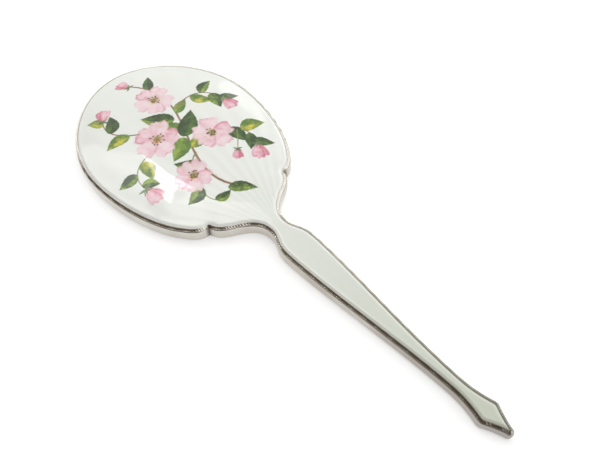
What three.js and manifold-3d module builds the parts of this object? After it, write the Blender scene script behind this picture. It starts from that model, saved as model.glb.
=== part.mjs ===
// Hand mirror: a pressed metal case with an oval bevelled glass in its front, and a domed back of
// translucent enamel over an engine-turned plate, held by an engraved border that follows the outline.
// Millimetres. +X runs from the head to the handle's tip, +Z out of the enamelled back, and the mirror
// lies on its front, so z = 0 is the plane that the case and the bezel rest on. The origin is the
// middle of the bounding box's bottom face.
import * as THREE from "three";
import { mergeVertices } from "three/addons/utils/BufferGeometryUtils.js";
import Module from "manifold-3d";

const wasm = await Module();
wasm.setup();

// ---- driving dimensions ----
const LENGTH = 280; // head end to handle tip
const HEAD_HALF_WIDTH = 51;
const HEAD_X = -80; // where the head is widest
const NECK_HALF_WIDTH = 5.65;
const SHOULDER_HALF_WIDTH = 9.5; // widest part of the handle
const WAIST_HALF_WIDTH = 3.9; // narrowest part of the handle

const CASE_HEAD_HEIGHT = 7.2; // side band at the head and neck
const CASE_TIP_HEIGHT = 5.7; // side band along the outer half of the handle
const CASE_WALL = 0.8;
const CASE_LINING = 1.1; // inset of the wall's inner face
const SEAT = 0.3; // free gap between pieces that are set into one another
// The side band's convex section: inset from the outline, and share of the case's height.
const SIDE_SECTION = [
  [1.8, 0],
  [0.75, 0.05],
  [0.2, 0.18],
  [0, 0.38],
  [0, 0.56],
  [0.17, 0.78],
  [0.6, 1],
];

const BORDER_INNER = 1.9; // the border's inner edge, measured in from the outline
const BORDER_OUTER = 0.6;
const BORDER_EDGE = 0.25; // height of the border's outer edge
const BORDER_RISE = 0.75; // how far its sloping face climbs inwards

const PLATE_THICKNESS = 0.6;
const ENAMEL_THICKNESS = 0.8;
const FUSED = 0.1; // modelled gap between layers that are fused or glued together
const DOME_HEIGHT = 4.6; // crown of the head above its edge
const DOME_REACH_HEAD = 62; // the dome's half-length towards the head end
const DOME_REACH_NECK = 84; // and towards the neck
const DOME_HALF_WIDTH = 53;
const DOME_EASE = 13; // the dome fades out over this distance from the enamel's edge
const ENAMEL_INSET = 2.05;
const SHOULDER_RISE = 0.6; // rounded shoulder all round the enamel
const SHOULDER_WIDTH = 1.5;
const SHOULDER_RINGS = [0, 0.3, 0.65, 1.15]; // steps in from the enamel's edge

const GLASS_X = -82.5; // centre of the oval glass
const GLASS_HALF_LENGTH = 50.5;
const GLASS_HALF_WIDTH = 44;
const GLASS_THICKNESS = 2.5;
const GLASS_BEVEL = 9; // width of the bevel on the glass's front
const GLASS_EDGE = 1.3; // what the bevel leaves of the glass's edge
const BEZEL_LIP = 1.6; // overlap of the bezel on the glass
const BEZEL_LIP_EDGE = 0.45; // height of the lip's rounded inner edge
const BEZEL_WALL = 1.3;
const BEZEL_ROUND = 0.3; // rounding of the bezel's outer corner
const BEZEL_FLANGE = 2.8;
const BEZEL_FLANGE_THICKNESS = 0.5;
const SILVERING = 0.1;
const CARD_THICKNESS = 0.6;
const BOARD_THICKNESS = 2;
const BOARD_MARGIN = 1.3; // how far the board reaches past the glass

const TANG_START = -60;
const TANG_END = 45;
const TANG_WIDTH = 7;
const TANG_THICKNESS = 1.2;
const TANG_UNDERCUT = 0.02; // so that the tang lies free in its grooves
const PIN_RADIUS = 0.8;
const PIN_HEAD_RADIUS = 1.5;
const PIN_HEAD_HEIGHT = 0.45;
const PIN_HEAD_TAPER = 0.7;
const PIN_CLEARANCE = 0.1;
const RIVET_X = [-52, -40];
const NAIL_X = [22, 36];
const NAIL_LENGTH = 4;

const CORE_START = -3;
const CORE_END = 134;
const CORE_ROUND = 1; // rounding of the core's lower edge
const FILLER_END = -14;

const COLUMNS = [-1, -0.85, -0.65, -0.35, 0, 0.35, 0.65, 0.85, 1]; // across the domed plates
const OVAL_STEPS = 44;
const PIN_SIDES = 12;
const BEYOND = 30; // reach of the cutting bodies past whatever they cut

// ---- the outline's upper half, from the head end to the tip ----
const HALF = LENGTH / 2;
const v2 = (x, y) => new THREE.Vector2(x, y);
const cubic = (...p) => new THREE.CubicBezierCurve(...p);
const quadratic = (...p) => new THREE.QuadraticBezierCurve(...p);
const HEAD_END = v2(-HALF, 0);
const WIDEST = v2(HEAD_X, HEAD_HALF_WIDTH);
const LOBE = v2(-27.5, 36.2); // the head's flank begins to turn in
const NOTCH_HEAD = v2(-20.1, 25.4); // bottom of the sharp crease between head and neck
const NOTCH_NECK = v2(-17.9, 24.5);
const SWEEP = v2(-10.6, 15.6); // from convex shoulder lobe to concave neck
const NECK = v2(2, NECK_HALF_WIDTH);
const SHOULDER = v2(17.5, SHOULDER_HALF_WIDTH);
const WAIST = v2(111, WAIST_HALF_WIDTH);
const SPADE = v2(126.2, 6.1); // the flared end's corner, before and after its rounding
const SPADE_BACK = v2(129.2, 5.8);
const TIP_SIDE = v2(138.47, 1.95); // from the slightly hollow side to the round nib
const TIP = v2(HALF, 0);
const stretches = [
  [cubic(HEAD_END, v2(-HALF, 24.5), v2(-114, HEAD_HALF_WIDTH), WIDEST), 13],
  [cubic(WIDEST, v2(-60, HEAD_HALF_WIDTH), v2(-38.4, 45), LOBE), 8],
  [quadratic(LOBE, v2(-19.8, 31), NOTCH_HEAD), 3],
  [quadratic(NOTCH_HEAD, v2(-19, 25), NOTCH_NECK), 3],
  [cubic(NOTCH_NECK, v2(-14.6, 22.9), v2(-12.6, 19.2), SWEEP), 4],
  [cubic(SWEEP, v2(-7.9, 10.8), v2(-4.6, NECK_HALF_WIDTH), NECK), 6],
  [cubic(NECK, v2(8, NECK_HALF_WIDTH), v2(9, 9.4), SHOULDER), 5],
  [cubic(SHOULDER, v2(43, SHOULDER_HALF_WIDTH), v2(82, 4.1), WAIST), 7],
  [cubic(WAIST, v2(117.5, WAIST_HALF_WIDTH), v2(122, 5), SPADE), 4],
  [quadratic(SPADE, v2(127.8, 6.55), SPADE_BACK), 3],
  [cubic(SPADE_BACK, v2(132.1, 4.25), v2(135.5, 2.67), TIP_SIDE), 4],
  [cubic(TIP_SIDE, v2(139.37, 1.73), v2(HALF, 0.93), TIP), 4],
];

// Points of the half outline with their inward normals.
const half = [];
for (const [curve, steps] of stretches) {
  for (let i = half.length ? 1 : 0; i <= steps; i++) {
    const at = curve.getPoint(i / steps);
    const along = curve.getTangent(i / steps);
    half.push({ at, inward: v2(along.y, -along.x) });
  }
}
const TIP_SAMPLES = 12; // the last samples, which crowd together where the outline is inset

// The half outline moved in by a distance. Near the tip it is cut off at the centre line and shared
// out again, so that every inset has the same number of points.
function insetHalf(distance) {
  const moved = half.map(({ at, inward }) => at.clone().addScaledVector(inward, distance));
  moved[0].y = 0;
  const first = moved.length - TIP_SAMPLES;
  const tail = moved.slice(first);
  const crossing = tail.findIndex((p, i) => i > 0 && p.y <= 0);
  const kept = tail.slice(0, crossing);
  const a = kept.at(-1);
  const b = tail[crossing];
  kept.push(v2(a.x + ((b.x - a.x) * a.y) / (a.y - b.y || 1), 0));
  const lengths = [0];
  kept.slice(1).forEach((p, i) => lengths.push(lengths[i] + p.distanceTo(kept[i])));
  for (let i = 0; i < TIP_SAMPLES; i++) {
    const wanted = (lengths.at(-1) * i) / (TIP_SAMPLES - 1);
    const k = Math.max(1, lengths.findIndex((l) => l >= wanted - 1e-9));
    const share = (wanted - lengths[k - 1]) / (lengths[k] - lengths[k - 1]);
    moved[first + i] = kept[k - 1].clone().lerp(kept[k], share);
  }
  moved.at(-1).y = 0;
  return moved;
}

// The whole outline at an inset, anticlockwise seen from above.
function ring(distance) {
  const upper = insetHalf(distance);
  const lower = upper.slice(1, -1).map((p) => v2(p.x, -p.y));
  return [...lower, upper.at(-1), ...upper.slice(1, -1).reverse(), upper[0]];
}

const outline = half.map(({ at }) => at);
function distanceToOutline(x, y) {
  const p = v2(x, Math.abs(y));
  let best = Infinity;
  for (let i = 1; i < outline.length; i++) {
    const a = outline[i - 1];
    const along = outline[i].clone().sub(a);
    const t = THREE.MathUtils.clamp(p.clone().sub(a).dot(along) / along.lengthSq(), 0, 1);
    best = Math.min(best, p.distanceTo(a.clone().addScaledVector(along, t)));
  }
  return best;
}

// ---- heights ----
const TAPER_START = 0;
const TAPER_END = 85;
const caseTop = (x) =>
  THREE.MathUtils.lerp(
    CASE_HEAD_HEIGHT,
    CASE_TIP_HEIGHT,
    THREE.MathUtils.smoothstep(x, TAPER_START, TAPER_END),
  );

// Height of the pressed back above its own edge: a rounded shoulder all round, and the head's dome.
const eased = (distance, width) => 1 - (1 - THREE.MathUtils.clamp(distance / width, 0, 1)) ** 2;
function crown(x, y) {
  const inside = Math.max(0, distanceToOutline(x, y) - ENAMEL_INSET);
  const reach = x < HEAD_X ? DOME_REACH_HEAD : DOME_REACH_NECK;
  const radius2 = ((x - HEAD_X) / reach) ** 2 + (y / DOME_HALF_WIDTH) ** 2;
  const dome = DOME_HEIGHT * Math.max(0, 1 - radius2);
  return SHOULDER_RISE * eased(inside, SHOULDER_WIDTH) + dome * eased(inside, DOME_EASE);
}
const plateTop = (x, y) => caseTop(x) + crown(x, y);
const plateUnder = (x, y) => plateTop(x, y) - PLATE_THICKNESS;
const enamelUnder = (x, y) => plateTop(x, y) + FUSED;
const enamelTop = (x, y) => enamelUnder(x, y) + ENAMEL_THICKNESS;

const PLATE_INSET = CASE_LINING + SEAT;
const ENAMEL_INSETS = SHOULDER_RINGS.map((step) => ENAMEL_INSET + step);
const GLASS_FRONT = CASE_WALL;
const GLASS_BACK = GLASS_FRONT + GLASS_THICKNESS;
const SILVER_BACK = GLASS_BACK + SILVERING;
const CARD_BACK = SILVER_BACK + CARD_THICKNESS;
const BOARD_BACK = CARD_BACK + BOARD_THICKNESS;

// ---- solids ----
function geometryOf(points, triangles) {
  const geometry = new THREE.BufferGeometry();
  geometry.setAttribute("position", new THREE.Float32BufferAttribute(points.flat(), 3));
  geometry.setIndex(triangles.flat());
  geometry.computeVertexNormals();
  return geometry;
}

// Joins rings of equal length in order. Each ring is an array of [x, y, z], anticlockwise from above,
// and the rings run from the bottom up the outside. closed joins the last ring to the first, as round
// a hoop. Otherwise the first and last rings are filled in: flat across in y, or to a height(x, y).
function loft(rings, { closed = false, lowHeight, highHeight } = {}) {
  const n = rings[0].length;
  const points = rings.flat();
  const triangles = [];
  const steps = closed ? rings.length : rings.length - 1;
  for (let r = 0; r < steps; r++) {
    const low = r * n;
    const high = ((r + 1) % rings.length) * n;
    for (let i = 0; i < n; i++) {
      const j = (i + 1) % n;
      triangles.push([low + i, low + j, high + j], [low + i, high + j, high + i]);
    }
  }
  if (!closed) {
    fill(points, 0, n, lowHeight).forEach(([a, b, c]) => triangles.push([c, b, a]));
    triangles.push(...fill(points, (rings.length - 1) * n, n, highHeight));
  }
  return geometryOf(points, triangles);
}

// Triangles, facing up, that fill the ring of n points that begins at index first. The ring is the
// same either side of y = 0. It starts on the lower side beside the head end, and its last point is
// the head end itself. With a height(x, y), each row across is divided into columns.
function fill(points, first, n, height) {
  const tip = n / 2 - 1;
  const columns = height ? COLUMNS : [-1, 1];
  const rows = [columns.map(() => first + n - 1)];
  for (let i = 0; i < tip; i++) {
    const [x, y] = points[first + n - 2 - i];
    const middle = columns.slice(1, -1).map((u) => points.push([x, y * u, height(x, y * u)]) - 1);
    rows.push([first + i, ...middle, first + n - 2 - i]);
  }
  rows.push(columns.map(() => first + tip));
  const triangles = [];
  const keep = (a, b, c) => new Set([a, b, c]).size === 3 && triangles.push([a, b, c]);
  for (let r = 1; r < rows.length; r++) {
    for (let k = 1; k < columns.length; k++) {
      keep(rows[r - 1][k - 1], rows[r][k - 1], rows[r][k]);
      keep(rows[r - 1][k - 1], rows[r][k], rows[r - 1][k]);
    }
  }
  return triangles;
}
const level = (points, z) => points.map((p) => [p.x, p.y, typeof z === "function" ? z(p.x) : z]);

// A plate between two surfaces, with rings at the insets given from its edge inwards.
function domedPlate(insets, under, top) {
  const surface = (inset, z) => ring(inset).map((p) => [p.x, p.y, z(p.x, p.y)]);
  const lower = insets.map((inset) => surface(inset, under)).reverse();
  const upper = insets.map((inset) => surface(inset, top));
  return loft([...lower, ...upper], { lowHeight: under, highHeight: top });
}

// An oval that runs a margin outside the glass's edge, its points in the same order as ring's.
function oval(margin) {
  const points = [];
  for (let i = 1; i <= OVAL_STEPS; i++) {
    const angle = Math.PI * ((2 * i) / OVAL_STEPS - 1);
    points.push(
      v2(
        GLASS_X + (GLASS_HALF_LENGTH + margin) * Math.cos(angle),
        (GLASS_HALF_WIDTH + margin) * Math.sin(angle),
      ),
    );
  }
  return points;
}
const ovalPlate = (margin, low, high) => loft([level(oval(margin), low), level(oval(margin), high)]);

function solidOf(geometry) {
  const bare = new THREE.BufferGeometry();
  bare.setAttribute("position", geometry.getAttribute("position"));
  if (geometry.index) bare.setIndex(geometry.index);
  const merged = mergeVertices(bare, 1e-4);
  const triVerts = new Uint32Array(merged.index.array);
  const vertProperties = merged.attributes.position.array;
  return new wasm.Manifold(new wasm.Mesh({ numProp: 3, vertProperties, triVerts }));
}
function geometryFrom(solid) {
  const mesh = solid.getMesh();
  const geometry = new THREE.BufferGeometry();
  geometry.setAttribute("position", new THREE.BufferAttribute(mesh.vertProperties, 3));
  geometry.setIndex(new THREE.BufferAttribute(mesh.triVerts, 1));
  const flat = geometry.toNonIndexed();
  flat.computeVertexNormals();
  return flat;
}

function barAlongX(from, to, width, low, high) {
  const box = new THREE.BoxGeometry(to - from, width, high - low);
  return box.translate((from + to) / 2, 0, (low + high) / 2);
}

// What is left of a geometry when the others are cut away.
const without = (geometry, ...rooms) =>
  geometryFrom(rooms.reduce((left, room) => left.subtract(solidOf(room)), solidOf(geometry)));

// ---- the pieces ----
// Tray with a convex side band, open at the back, with the oval hole for the bezel in its front.
function frontCase() {
  const outer = loft(SIDE_SECTION.map(([inset, share]) => level(ring(inset), (x) => share * caseTop(x))));
  const inner = loft([
    level(ring(CASE_LINING + CASE_WALL), CASE_WALL),
    level(ring(CASE_LINING), 2 * CASE_WALL),
    level(ring(CASE_LINING), (x) => caseTop(x) + CASE_WALL),
  ]);
  const hole = ovalPlate(BEZEL_WALL + SEAT / 2, -CASE_WALL, 2 * CASE_WALL);
  return without(outer, inner, hole);
}

// Sloping strip all round the back, which clamps the enamelled plate's edge.
function engravedBorder() {
  const foot = (x) => caseTop(x) + SEAT;
  return loft(
    [
      level(ring(BORDER_INNER), foot),
      level(ring(BORDER_OUTER), foot),
      level(ring(BORDER_OUTER), (x) => foot(x) + BORDER_EDGE),
      level(ring(BORDER_INNER), (x) => foot(x) + BORDER_EDGE + BORDER_RISE),
    ],
    { closed: true },
  );
}

// Hoop that holds the glass: a lip over the glass's edge, a wall in the case's hole, and a flange
// inside. Each corner of its section is [margin outside the glass's edge, height].
function glassBezel() {
  const flangeTop = CASE_WALL + BEZEL_FLANGE_THICKNESS;
  const section = [
    [-BEZEL_LIP + BEZEL_LIP_EDGE, BEZEL_ROUND / 3],
    [0, 0],
    [BEZEL_WALL - BEZEL_ROUND, 0],
    [BEZEL_WALL, BEZEL_ROUND],
    [BEZEL_WALL, CASE_WALL],
    [BEZEL_FLANGE, CASE_WALL],
    [BEZEL_FLANGE, flangeTop],
    [SEAT, flangeTop],
    [SEAT, CASE_WALL],
    [-BEZEL_LIP, CASE_WALL],
    [-BEZEL_LIP, BEZEL_LIP_EDGE],
  ];
  return loft(section.map(([margin, z]) => level(oval(margin), z)), { closed: true });
}

// Oval plate with a wide bevel on its front, the side that faces down.
function mirrorGlass() {
  return loft([
    level(oval(-GLASS_BEVEL), GLASS_FRONT),
    level(oval(0), GLASS_BACK - GLASS_EDGE),
    level(oval(0), GLASS_BACK),
  ]);
}

const TANG_FLOOR = BOARD_BACK - TANG_THICKNESS;
const neckTang = () => {
  const strip = barAlongX(TANG_START, TANG_END, TANG_WIDTH, TANG_FLOOR, BOARD_BACK);
  return without(strip, ...[...RIVET_X, ...NAIL_X].map(pinRoom));
};
const tangRoom = () => {
  const width = TANG_WIDTH + 2 * SEAT;
  return barAlongX(TANG_START - SEAT, TANG_END + SEAT, width, TANG_FLOOR - TANG_UNDERCUT, BEYOND);
};

// Pins stand along +Z. The shank and its head are one turned profile.
function pin(x, length) {
  const top = BOARD_BACK + PIN_HEAD_HEIGHT;
  const profile = [
    v2(0, BOARD_BACK - length),
    v2(PIN_RADIUS, BOARD_BACK - length),
    v2(PIN_RADIUS, BOARD_BACK),
    v2(PIN_HEAD_RADIUS, BOARD_BACK),
    v2(PIN_HEAD_RADIUS * PIN_HEAD_TAPER, top),
    v2(0, top),
  ];
  return new THREE.LatheGeometry(profile, PIN_SIDES).rotateX(Math.PI / 2).translate(x, 0, 0);
}
function pinRoom(x) {
  const radius = PIN_RADIUS + PIN_CLEARANCE;
  const room = new THREE.CylinderGeometry(radius, radius, BEYOND, PIN_SIDES);
  return room.rotateX(Math.PI / 2).translate(x, 0, 0);
}

const headBoard = () =>
  without(ovalPlate(BOARD_MARGIN, CARD_BACK, BOARD_BACK), tangRoom(), ...RIVET_X.map(pinRoom));

// Cast composition that fills the dome behind the board, so that the pressed back doesn't dent.
function headFiller() {
  const top = (x, y) => plateUnder(x, y) - FUSED;
  const body = domedPlate([ENAMEL_INSETS.at(-1)], () => BOARD_BACK, top);
  const handle = barAlongX(FILLER_END, LENGTH, LENGTH, -BEYOND, BEYOND);
  const radius = PIN_HEAD_RADIUS + SEAT;
  const roomTop = BOARD_BACK + PIN_HEAD_HEIGHT + SEAT;
  const headRooms = RIVET_X.map((x) => barAlongX(x - radius, x + radius, 2 * radius, 0, roomTop));
  return without(body, handle, ...headRooms);
}

// Wood that fills the handle, grooved for the tang.
function handleCore() {
  const inset = CASE_LINING + SEAT;
  const floor = CASE_WALL + FUSED;
  const body = loft([
    level(ring(inset + CORE_ROUND), floor),
    level(ring(inset), floor + CORE_ROUND),
    level(ring(inset), (x) => caseTop(x) - PLATE_THICKNESS - FUSED),
  ]);
  const head = barAlongX(-LENGTH, CORE_START, LENGTH, -BEYOND, BEYOND);
  const tip = barAlongX(CORE_END, LENGTH, LENGTH, -BEYOND, BEYOND);
  return without(body, head, tip, tangRoom(), ...NAIL_X.map(pinRoom));
}

// ---- materials and assembly ----
const finish = (color, roughness, metalness = 0) =>
  new THREE.MeshStandardMaterial({ color, roughness, metalness });
const silver = finish(0xc9c4bb, 0.28, 1);
const looks = {
  enamel: finish(0xe9efe8, 0.12),
  silver,
  bezel: finish(0xcfc9bd, 0.22, 1),
  glass: finish(0xdfe8e6, 0.03),
  silvering: finish(0xd8dadb, 0.1, 1),
  card: finish(0x8f7f66, 0.9),
  wood: finish(0xb08b5c, 0.75),
  filler: finish(0xd9d2c2, 0.9),
  steel: finish(0x8c8f92, 0.4, 1),
  brass: finish(0xb69a55, 0.35, 1),
};

const mirror = new THREE.Group();
function add(name, geometry, material) {
  const mesh = new THREE.Mesh(geometry, material);
  mesh.name = name;
  mirror.add(mesh);
}

add("front_case", frontCase(), looks.silver);
add("engraved_border", engravedBorder(), looks.silver);
add("back_plate", domedPlate([PLATE_INSET, ...ENAMEL_INSETS], plateUnder, plateTop), looks.silver);
add("back_enamel", domedPlate(ENAMEL_INSETS, enamelUnder, enamelTop), looks.enamel);
add("glass_bezel", glassBezel(), looks.bezel);
add("mirror_glass", mirrorGlass(), looks.glass);
add("mirror_silvering", ovalPlate(0, GLASS_BACK, SILVER_BACK), looks.silvering);
add("packing_card", ovalPlate(0, SILVER_BACK, CARD_BACK), looks.card);
add("head_board", headBoard(), looks.wood);
add("head_filler", headFiller(), looks.filler);
add("handle_core", handleCore(), looks.wood);
add("neck_tang", neckTang(), looks.steel);
RIVET_X.forEach((x, i) => add(`tang_rivet_${i + 1}`, pin(x, BOARD_THICKNESS), looks.brass));
NAIL_X.forEach((x, i) => add(`tang_nail_${i + 1}`, pin(x, NAIL_LENGTH), looks.brass));

export default mirror;
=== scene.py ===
"""Looks for the enamelled hand mirror: the painted enamel, the engraved border, the case and the glass.

Lengths are in millimetres, and MM turns them into metres. Only the cards' distances are in metres. The
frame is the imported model's: +X from the head to the handle's tip, and +Z out of the enamelled back.
"""

import math

import bmesh
import bpy
import numpy as np
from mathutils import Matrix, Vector
from mathutils.geometry import tessellate_polygon


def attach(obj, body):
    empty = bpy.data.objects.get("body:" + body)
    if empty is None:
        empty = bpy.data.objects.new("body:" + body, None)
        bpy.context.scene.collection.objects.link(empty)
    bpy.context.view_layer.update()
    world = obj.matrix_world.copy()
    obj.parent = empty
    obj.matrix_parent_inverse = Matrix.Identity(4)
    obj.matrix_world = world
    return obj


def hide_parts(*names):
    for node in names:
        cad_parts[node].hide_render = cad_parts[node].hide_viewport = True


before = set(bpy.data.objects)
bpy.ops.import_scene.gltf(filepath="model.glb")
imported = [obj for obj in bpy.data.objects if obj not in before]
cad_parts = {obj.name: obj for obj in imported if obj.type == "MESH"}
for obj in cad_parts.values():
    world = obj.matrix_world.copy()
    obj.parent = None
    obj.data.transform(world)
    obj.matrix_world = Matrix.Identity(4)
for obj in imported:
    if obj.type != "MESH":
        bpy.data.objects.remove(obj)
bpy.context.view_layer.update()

MM = 0.001
SEED = 20
TOUCH = 1e-6  # a length too small to matter

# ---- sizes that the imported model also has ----
CASE_HEAD_HEIGHT = 7.2
CASE_TIP_HEIGHT = 5.7
TAPER_END = 85
CASE_WALL = 0.8
CASE_LINING = 1.1  # inset of the inner face behind the case's edge
BORDER_INNER = 1.9
BORDER_OUTER = 0.6
BORDER_FOOT = 0.3  # height of the border's underside over the case
ENAMEL_INSET = 2.05
ENAMEL_LIFT = 0.9  # height of the enamel's edge over the case
ENAMEL_THICKNESS = 0.8
DOME_HEIGHT = 4.58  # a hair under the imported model's 4.6, to stay inside its box
DOME_X = -80
DOME_REACH_HEAD = 62
DOME_REACH_NECK = 84
DOME_HALF_WIDTH = 53
DOME_EASE = 13  # the dome rises over this distance from the enamel's edge
SHOULDER_RISE = 0.6
SHOULDER_WIDTH = 1.5
GLASS_X = -82.5
GLASS_HALF_LENGTH = 50.5
GLASS_HALF_WIDTH = 44
GLASS_FRONT = 0.8
GLASS_BACK = 3.3
BEVEL_WIDTH = 9
BEZEL_WALL = 1.3
BEZEL_GAP = 0.15

# The outline's upper half as Bezier curves, from the head's end to the handle's tip.
STRETCHES = [
    [(-140, 0), (-140, 24.5), (-114, 51), (-80, 51)],
    [(-80, 51), (-60, 51), (-38.4, 45), (-27.5, 36.2)],
    [(-27.5, 36.2), (-19.8, 31), (-20.1, 25.4)],
    [(-20.1, 25.4), (-19, 25), (-17.9, 24.5)],
    [(-17.9, 24.5), (-14.6, 22.9), (-12.6, 19.2), (-10.6, 15.6)],
    [(-10.6, 15.6), (-7.9, 10.8), (-4.6, 5.65), (2, 5.65)],
    [(2, 5.65), (8, 5.65), (9, 9.4), (17.5, 9.5)],
    [(17.5, 9.5), (43, 9.5), (82, 4.1), (111, 3.9)],
    [(111, 3.9), (117.5, 3.9), (122, 5), (126.2, 6.1)],
    [(126.2, 6.1), (127.8, 6.55), (129.2, 5.8)],
    [(129.2, 5.8), (132.1, 4.25), (135.5, 2.67), (138.47, 1.95)],
    [(138.47, 1.95), (139.37, 1.73), (140, 0.93), (140, 0)],
]
NOTCH_X, NOTCH_Y = STRETCHES[2][-1]
CURVE_POINTS = 200
OVAL_POINTS = 240
COARSE_STEP = 1.2  # spacing of the outline's points where only distances to it are measured
TIP_ARC = 9  # length of outline beside the tip that is shared out again when it is inset


# ---- the outline ----
def bezier(corners, count):
    """Points along a Bezier curve of any degree."""
    t = np.linspace(0, 1, count)[:, None]
    level = [np.array(c, float) for c in corners]
    while len(level) > 1:
        level = [a * (1 - t) + b * t for a, b in zip(level, level[1:])]
    return level[0]


def arc_lengths(points):
    """Distance along a polyline to each of its points."""
    return np.concatenate([[0], np.cumsum(np.linalg.norm(np.diff(points, axis=0), axis=1))])


def resample(points, wanted):
    """Points at the wanted distances along a polyline."""
    lengths = arc_lengths(points)
    return np.stack([np.interp(wanted, lengths, points[:, k]) for k in range(points.shape[1])], 1)


def half_outline(step):
    """The upper half of the outline and its inward normals, evenly spaced."""
    fine = np.concatenate([bezier(c, CURVE_POINTS)[1:] for c in STRETCHES])
    fine = np.concatenate([[STRETCHES[0][0]], fine])
    total = arc_lengths(fine)[-1]
    points = resample(fine, np.linspace(0, total, round(total / step) + 1))
    along = np.gradient(points, axis=0)
    along /= np.linalg.norm(along, axis=1)[:, None]
    inward = np.stack([along[:, 1], -along[:, 0]], 1)
    inward[0] = (1, 0)
    inward[-1] = (-1, 0)
    return points, inward


def inset_half(half, distance):
    """The half outline moved in, with what crosses the centre line at the tip cut off and shared out."""
    points, inward = half
    moved = points + inward * distance
    step = np.linalg.norm(points[1] - points[0])
    first = len(moved) - round(TIP_ARC / step)
    tail = moved[first:]
    crossing = np.argmax(tail[:, 1] <= TOUCH)
    a, b = tail[crossing - 1], tail[crossing]
    end = a + (b - a) * a[1] / max(a[1] - b[1], TOUCH)
    kept = np.concatenate([tail[:crossing], [end]])
    moved[first:] = resample(kept, np.linspace(0, arc_lengths(kept)[-1], len(tail)))
    moved[0, 1] = 0
    moved[-1, 1] = 0
    return moved


def whole(upper):
    """A whole ring, anticlockwise from above, from its upper half."""
    lower = upper[1:-1] * (1, -1)
    return np.concatenate([lower, upper[-1:], upper[1:-1][::-1], upper[:1]])


def distance_to_outline(points):
    """Distance from each point inside the outline to the outline."""
    corners = half_outline(COARSE_STEP)[0]
    a, along = corners[:-1], np.diff(corners, axis=0)
    folded = np.abs(points * (0, 1)) + points * (1, 0)
    best = np.full(len(points), np.inf)
    for start, step in zip(a, along):
        t = np.clip(((folded - start) @ step) / (step @ step), 0, 1)
        best = np.minimum(best, np.linalg.norm(folded - start - t[:, None] * step, axis=1))
    return best


# ---- heights ----
def smoothstep(x, low, high):
    """0 up to low and 1 from high, with a smooth rise between them."""
    t = np.clip((x - low) / (high - low), 0, 1)
    return t * t * (3 - 2 * t)


def case_top(x):
    """Height of the case's edge, which tapers along the handle."""
    return CASE_HEAD_HEIGHT + (CASE_TIP_HEIGHT - CASE_HEAD_HEIGHT) * smoothstep(x, 0, TAPER_END)


def eased(distance, width):
    """0 at the edge, rising ever more gently to 1 at a width and beyond."""
    return 1 - (1 - np.clip(distance / width, 0, 1)) ** 2


def enamel_top(points):
    """Height of the enamel's surface: a rounded shoulder all round, and the head's dome."""
    x, y = points.T
    inside = np.maximum(0, distance_to_outline(points) - ENAMEL_INSET)
    reach = np.where(x < DOME_X, DOME_REACH_HEAD, DOME_REACH_NECK)
    dome = DOME_HEIGHT * np.maximum(0, 1 - ((x - DOME_X) / reach) ** 2 - (y / DOME_HALF_WIDTH) ** 2)
    crown = SHOULDER_RISE * eased(inside, SHOULDER_WIDTH) + dome * eased(inside, DOME_EASE)
    return case_top(x) + ENAMEL_LIFT + crown


# ---- meshes ----
def mesh_piece(name, points, faces, material, replaced, crease):
    """A smooth mesh, creased at edges over an angle, that rides on the body and stands for a CAD node."""
    mesh = bpy.data.meshes.new(name)
    mesh.from_pydata([tuple(p) for p in np.asarray(points) * MM], [], faces)
    mesh.validate()
    mesh.update()
    mesh.shade_smooth()
    mesh.set_sharp_from_angle(angle=math.radians(crease))
    piece = bpy.data.objects.new(name, mesh)
    bpy.context.scene.collection.objects.link(piece)
    mesh.materials.append(material)
    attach(piece, "root")
    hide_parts(replaced)
    return piece


def hoop(rings, closed=True):
    """Points and quads of a loft through rings of equal length, upwards round the outside."""
    n = len(rings[0])
    faces = []
    for r in range(len(rings) if closed else len(rings) - 1):
        low, high = r * n, (r + 1) % len(rings) * n
        faces += [(low + i, low + (i + 1) % n, high + (i + 1) % n, high + i) for i in range(n)]
    return np.concatenate(rings), faces


def at_height(ring, z):
    """Ring points with a height, or a height that follows x."""
    height = z(ring[:, 0]) if callable(z) else np.full(len(ring), float(z))
    return np.column_stack([ring, height])


def oval(margin):
    """An oval that runs a margin outside the glass's edge, anticlockwise from above."""
    angle = np.linspace(-math.pi, math.pi, OVAL_POINTS, endpoint=False)
    x = GLASS_X + (GLASS_HALF_LENGTH + margin) * np.cos(angle)
    return np.column_stack([x, (GLASS_HALF_WIDTH + margin) * np.sin(angle)])


# ---- the painting: a plan of the head in display colours, that motifs are laid on in order ----
CANVAS_STEP = 0.1
CANVAS_X = np.arange(-140, -8, CANVAS_STEP)
CANVAS_Y = np.arange(-52, 52, CANVAS_STEP)
GROUND = (237, 240, 233)
RIM_PAINTED_LIGHT = (254, 255, 252)  # painted light: the rim is painted near white, to lift the shade on the enamel's sloping shoulder
RIM_LIGHT_WIDTH = 2.2
STEM_BROWN = (150, 112, 86)
STEM_GREEN = (142, 150, 100)
STEM_SHADE = (96, 66, 50)
SEPAL_DARK = (70, 98, 58)
SEPAL_LIGHT = (150, 172, 110)
LEAF_DARK = (38, 64, 12)
LEAF_MID = (84, 120, 32)
LEAF_LIGHT = (146, 172, 60)
LEAF_YELLOW = (206, 196, 60)
LEAF_BASE_POWER = 0.65  # a leaf's outline is t to this power, times (1 - t) to the next
LEAF_TIP_POWER = 1.12
LEAF_PEAK = 0.314  # about the greatest value of that product
LEAF_VEINS = 6.5
LEAF_TONES = [
    (LEAF_DARK, LEAF_MID),
    (LEAF_DARK, LEAF_LIGHT),
    (LEAF_MID, LEAF_LIGHT),
    (LEAF_DARK, LEAF_LIGHT),
    (LEAF_MID, LEAF_YELLOW),
]
PETAL_PALE = (243, 219, 223)
PETAL_PINK = (232, 176, 190)
PETAL_DEEP = (214, 124, 146)
PETAL_ROSE = (196, 84, 108)
THROAT = (206, 178, 128)
EYE = (160, 146, 74)
OCHRE = (200, 124, 56)
FILAMENT = (128, 120, 70)
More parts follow.
